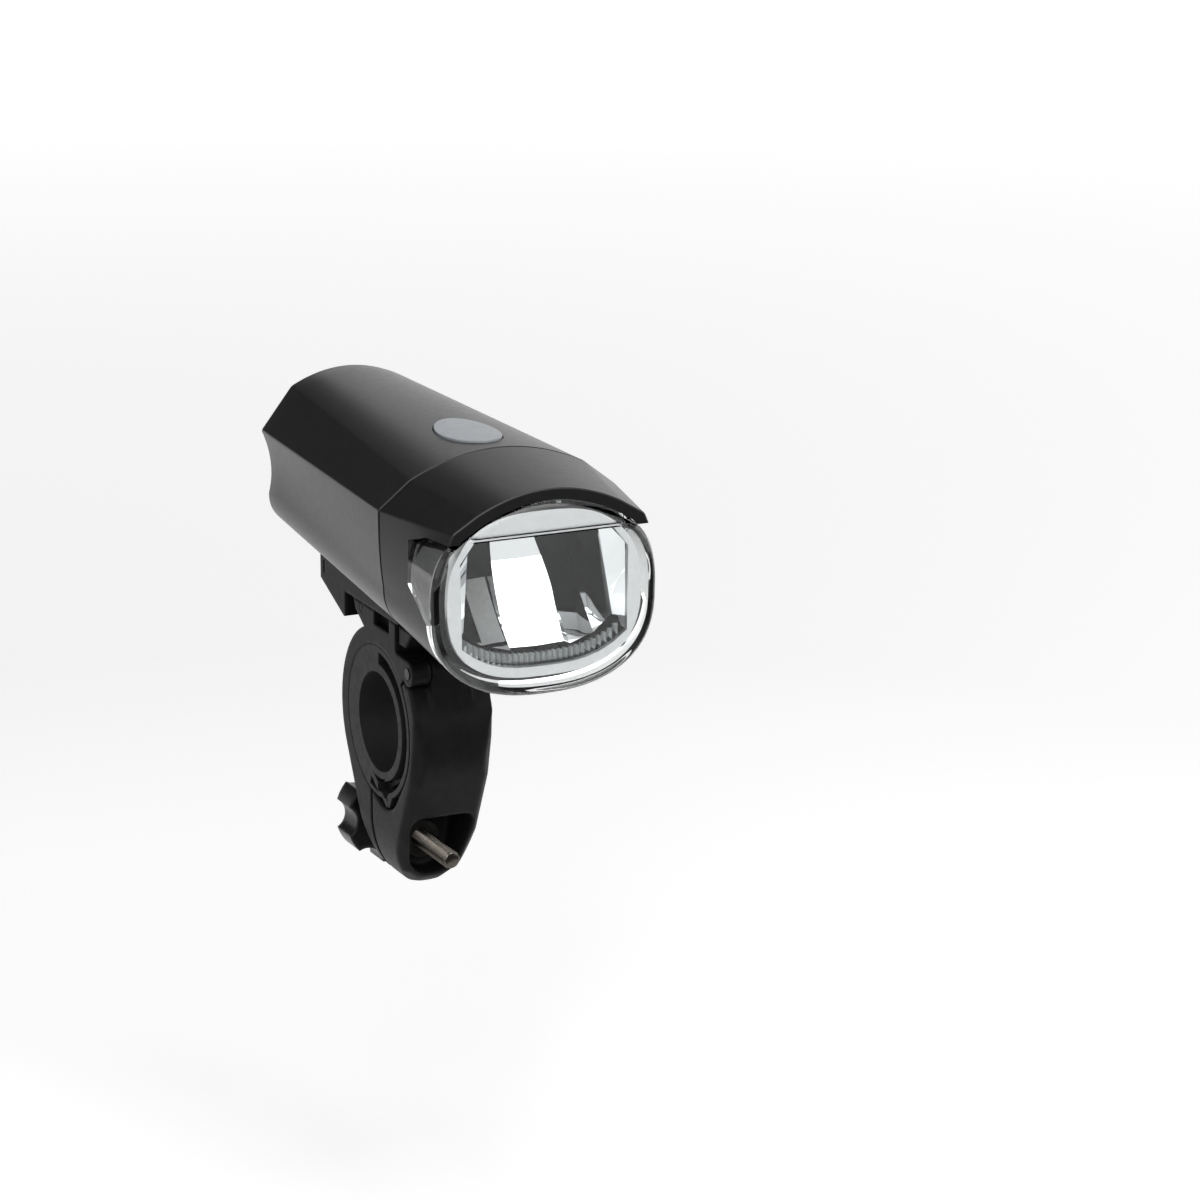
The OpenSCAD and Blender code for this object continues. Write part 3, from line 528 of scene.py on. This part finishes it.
def mirror_bands():
    """Mirror of upright bands, each smooth from top to bottom; the flatter middle panel narrows upwards."""
    rows, t = 44, 1.4

    def edge(z):
        return PANEL_HW - 4.2 * max(0, (z - 42) / 15) ** 1.5

    # Columns from left to right: x, or None on the slanting edge, and 1 on the flatter panel
    columns = ((-MIRROR_HW, 0), (-12.4, 0), (-6.6, 0), (-PANEL_HW, 1), (0, 1), (None, 1), (None, 0),
               (12.4, 0), (MIRROR_HW, 0))
    rings = []
    for base, flat in columns:
        x = PANEL_HW if base is None else base
        low = flute_low(x) + FLUTE_H + 0.05
        high = 57.2 - 1.3 * max(abs(x) - 15.5, 0)
        front, back = [], []
        for z in spaced(high, low, rows):
            if base is None:
                x = edge(z) + (0 if flat else 0.4)
            y = -53.3 - (57 - z) ** 2 / 64 if flat else deep_y(x, z)
            front.append((x, y, z))
            back.append((x, y + t, z))
        rings.append(front + back[::-1])
    obj = new_object("mirror_bands", *skin(rings))
    shade(obj, 3.2)
    place(obj, "head", MIRROR, "mirror", "reflector")


def satin_painted_reflection():
    """Patch of darker satin metal low on the left band of the mirror: a painted grey reflection."""
    proud, gap = 0.2, 0.05
    zs = spaced(45.5, 34.6, 16)
    rings = []
    for x in spaced(-12.2, -7.0, 6):
        front = [(x, deep_y(x, z) - proud, z) for z in zs]
        back = [(x, deep_y(x, z) - gap, z) for z in reversed(zs)]
        rings.append(front + back)
    obj = new_object("satin_painted_reflection", *skin(rings))
    shade(obj, 20)
    place(obj, "head", SATIN_PAINTED_REFLECTION, "mirror")


def side_wings():
    """Mirrored strips that flare from the sides of the mirror to the bezel."""
    low, high = 37.6, 56.2
    for side, name in ((-1, "side_wing_left"), (1, "side_wing_right")):
        rings = []
        for z in spaced(low, high, 12):
            w = 2.0 + 0.12 * (z - low)
            rings.append([(side * x, y, z) for x, y in
                          ((18.6, -65.5), (18.6 - w, -65.5 + w), (18.8 - w, -65.3 + w), (18.75, -65.2))])
        obj = new_object(name, *skin(rings))
        shade(obj, 20)
        place(obj, "head", MIRROR, "mirror")


def fluted_bar():
    """Bar below the mirror with a row of upright flutes, cut off at a slope so that they end in teeth."""
    flutes, pitch, crest, root, back, slope = 28, 1.25, -65.58, -64.4, -62.0, 0.15
    rings = []
    for i in range(2 * flutes + 1):
        x = (i / 2 - flutes / 2) * pitch
        y = crest if i % 2 else root
        low, high = flute_low(x), flute_low(x) + FLUTE_H
        rings.append([(x, y, low), (x, y, high - slope * (back - y)), (x, back, high), (x, back, low)])
    obj = new_object("fluted_bar", *skin(rings))
    shade(obj, 10)
    place(obj, "head", FLUTES, "mirror", "flute_strip")


def copy_of(node, name):
    """A new object with a copy of a CAD node's mesh."""
    obj = bpy.data.objects.new(name, nodes[node].data.copy())
    bpy.context.scene.collection.objects.link(obj)
    return obj


def moulded_jaw():
    """Front jaw, a copy of the CAD solid's mesh with its edges rounded as moulded ones are."""
    obj = copy_of("front_jaw", "moulded_jaw")
    voxels = obj.modifiers.new("skin", "REMESH")
    voxels.mode = "VOXEL"
    voxels.voxel_size = 0.35 * MM
    voxels.use_smooth_shade = True
    soft = obj.modifiers.new("soft", "SMOOTH")
    soft.factor = 0.5
    soft.iterations = 14
    place(obj, "jaw", CLAMP, "clamp_black", "front_jaw")


def latch_coil():
    """Latch spring, a copy of the CAD coil; in the lamp it shortens as the latch is pressed, but here it stays
    at rest.
    """
    obj = copy_of("latch_spring", "latch_coil")
    obj.modifiers.new("smooth", "NODES").node_group = SMOOTH
    place(obj, "clamp", STEEL, SLOT_OF["latch_spring"], "latch_spring")
    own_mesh(obj)


def bolt_thread():
    """Clamp bolt with its thread as real relief, chamfered at the free end."""
    start, end, axis_z = -18.5, 19.4, -27.5
    pitch, crest, root, cols, rows_per_pitch = 0.7, 2.0, 1.5, 36, 8
    tip_r = 1.5
    rows = int((end - start) / pitch * rows_per_pitch)
    verts, faces = [], []
    for j in range(rows + 1):
        y = mix(start, end, j / rows)
        for i in range(cols):
            turn = (y / pitch + i / cols) % 1
            r = mix(root, crest, min(1, max(0, 1.7 * (1 - abs(2 * turn - 1)) - 0.35)))
            r = min(r, tip_r + y - start)
            a = math.tau * i / cols
            verts.append((r * math.cos(a) * MM, y * MM, (axis_z + r * math.sin(a)) * MM))
    for j in range(rows):
        for i in range(cols):
            k = (i + 1) % cols
            faces.append((j * cols + i, j * cols + k, (j + 1) * cols + k, (j + 1) * cols + i))
    faces.append(tuple(range(cols)))
    faces.append(tuple(rows * cols + i for i in range(cols)))
    obj = new_object("bolt_thread", verts, faces)
    shade(obj, 50)
    place(obj, "knob", STEEL, "steel", "clamp_bolt")


housing_shell()
head_shell()
clear_lens()
mirror_bands()
satin_painted_reflection()
side_wings()
fluted_bar()
moulded_jaw()
latch_coil()
bolt_thread()


# Floor, cards, light and camera

def seen_white(tree_nodes, tree_links):
    """1 for the rays that see the white background: from the camera, metal and glass."""
    path = tree_nodes.new("ShaderNodeLightPath").outputs
    seen = math_node(tree_nodes, tree_links, "MAXIMUM", path["Is Camera Ray"], path["Is Transmission Ray"])
    return math_node(tree_nodes, tree_links, "MAXIMUM", seen, path["Is Glossy Ray"])


def studio_white(name, near, far):
    """White that glows to the camera, metal and glass, by near at the object and by far at a distance."""
    mat, n, k, shader = new_material(name)
    shader.inputs["Roughness"].default_value = 0.9
    shader.inputs["Specular IOR Level"].default_value = 0.0
    shader.inputs["Emission Color"].default_value = (1, 1, 1, 1)
    shader.inputs["Base Color"].default_value = (0.88, 0.88, 0.88, 1)
    away = n.new("ShaderNodeVectorMath")
    away.operation = "LENGTH"
    k.new(n.new("ShaderNodeTexCoord").outputs["Object"], away.inputs[0])
    start, end = 0.4, 1.8
    glow = spread(n, k, away.outputs["Value"], near, far, start, end)
    k.new(math_node(n, k, "MULTIPLY", glow, seen_white(n, k)), shader.inputs["Emission Strength"])
    return mat


def black_card(name, corners):
    """Studio card that darkens what the object mirrors. It shows in reflections alone and shades nothing."""
    mat, _, _, shader = new_material(name)
    shader.inputs["Base Color"].default_value = (0.1, 0.1, 0.1, 1)
    shader.inputs["Roughness"].default_value = 0.9
    shader.inputs["Specular IOR Level"].default_value = 0.0
    card = new_object(name, corners, [(0, 1, 2, 3)])
    card.data.materials.append(mat)
    card.visible_camera = card.visible_diffuse = card.visible_transmission = card.visible_shadow = False


def pale_stage():
    """White floor well below the clamp, with a card on it in front and one upright behind at the left."""
    low, radius, sides = cad_box[0].z - 0.06, 4.0, 64
    turn = [math.tau * i / sides for i in range(sides)]
    outline = [(radius * math.cos(a), radius * math.sin(a), low) for a in turn]
    floor = new_object("floor", outline, [tuple(range(sides))])
    floor.data.materials.append(studio_white("floor_white", 0.33, 1.0))
    lying = low + 0.001
    black_card("front_card", [(-1.3, -1.7, lying), (1.3, -1.7, lying), (1.3, -0.1, lying), (-1.3, -0.1, lying)])
    black_card("back_card", [(-0.8, 0.6, 0.04), (0.11, 0.6, 0.04), (0.11, 0.6, 1.2), (-0.8, 0.6, 1.2)])


def area_light(name, spot, aim, size, power):
    """A soft box at spot, turned to aim; size in metres and power in watts."""
    lamp = bpy.data.lights.new(name, "AREA")
    lamp.shape = "RECTANGLE"
    lamp.size, lamp.size_y = size
    lamp.energy = power
    obj = bpy.data.objects.new(name, lamp)
    obj.location = spot
    obj.rotation_euler = (Vector(aim) - Vector(spot)).to_track_quat("-Z", "Y").to_euler()
    bpy.context.scene.collection.objects.link(obj)


def studio():
    """Soft boxes in front, at both sides and overhead."""
    world = bpy.data.worlds.new("studio")
    bpy.context.scene.world = world
    world.use_nodes = True
    n, k = world.node_tree.nodes, world.node_tree.links
    n["Background"].inputs["Color"].default_value = (1, 1, 1, 1)
    k.new(spread(n, k, seen_white(n, k), 0.1, 1.0, 0, 1), n["Background"].inputs["Strength"])
    area_light("front", (-0.05, -0.82, 0.72), (0, -0.04, 0.045), (1.4, 1.2), 13.4)
    area_light("left", (-1.1, -0.15, 0.38), (0, 0, 0.03), (0.9, 0.5), 1.2)
    area_light("right", (1.1, -0.15, 0.38), (0, 0, 0.03), (0.9, 0.5), 1.2)
    area_light("overhead", (0.1, 0.0, 1.3), (0, 0, 0.04), (0.8, 0.8), 5)


def photo_camera():
    """Camera at the photograph's angle, moved so that the origin falls on its pixel."""
    a, e = math.radians(CAMERA_AZIMUTH), math.radians(CAMERA_ELEVATION)
    back = Vector((math.sin(a) * math.cos(e), -math.cos(a) * math.cos(e), math.sin(e)))
    right = Vector((math.cos(a), math.sin(a), 0))
    up = back.cross(right)
    across = (ORIGIN_PX[0] - FRAME_PX / 2) / FOCAL_PX
    above = -(ORIGIN_PX[1] - FRAME_PX / 2) / FOCAL_PX
    data = bpy.data.cameras.new("camera")
    data.sensor_width = 36
    data.lens = FOCAL_PX * data.sensor_width / FRAME_PX
    data.clip_start, data.clip_end = 0.05, 50
    cam = bpy.data.objects.new("camera", data)
    cam.location = (back - across * right - above * up) * CAMERA_DISTANCE * MM
    cam.rotation_mode = "QUATERNION"
    cam.rotation_quaternion = (-back).to_track_quat("-Z", "Y")
    bpy.context.scene.collection.objects.link(cam)
    bpy.context.scene.camera = cam


pale_stage()
studio()
photo_camera()
bpy.context.scene.view_settings.view_transform = "Standard"
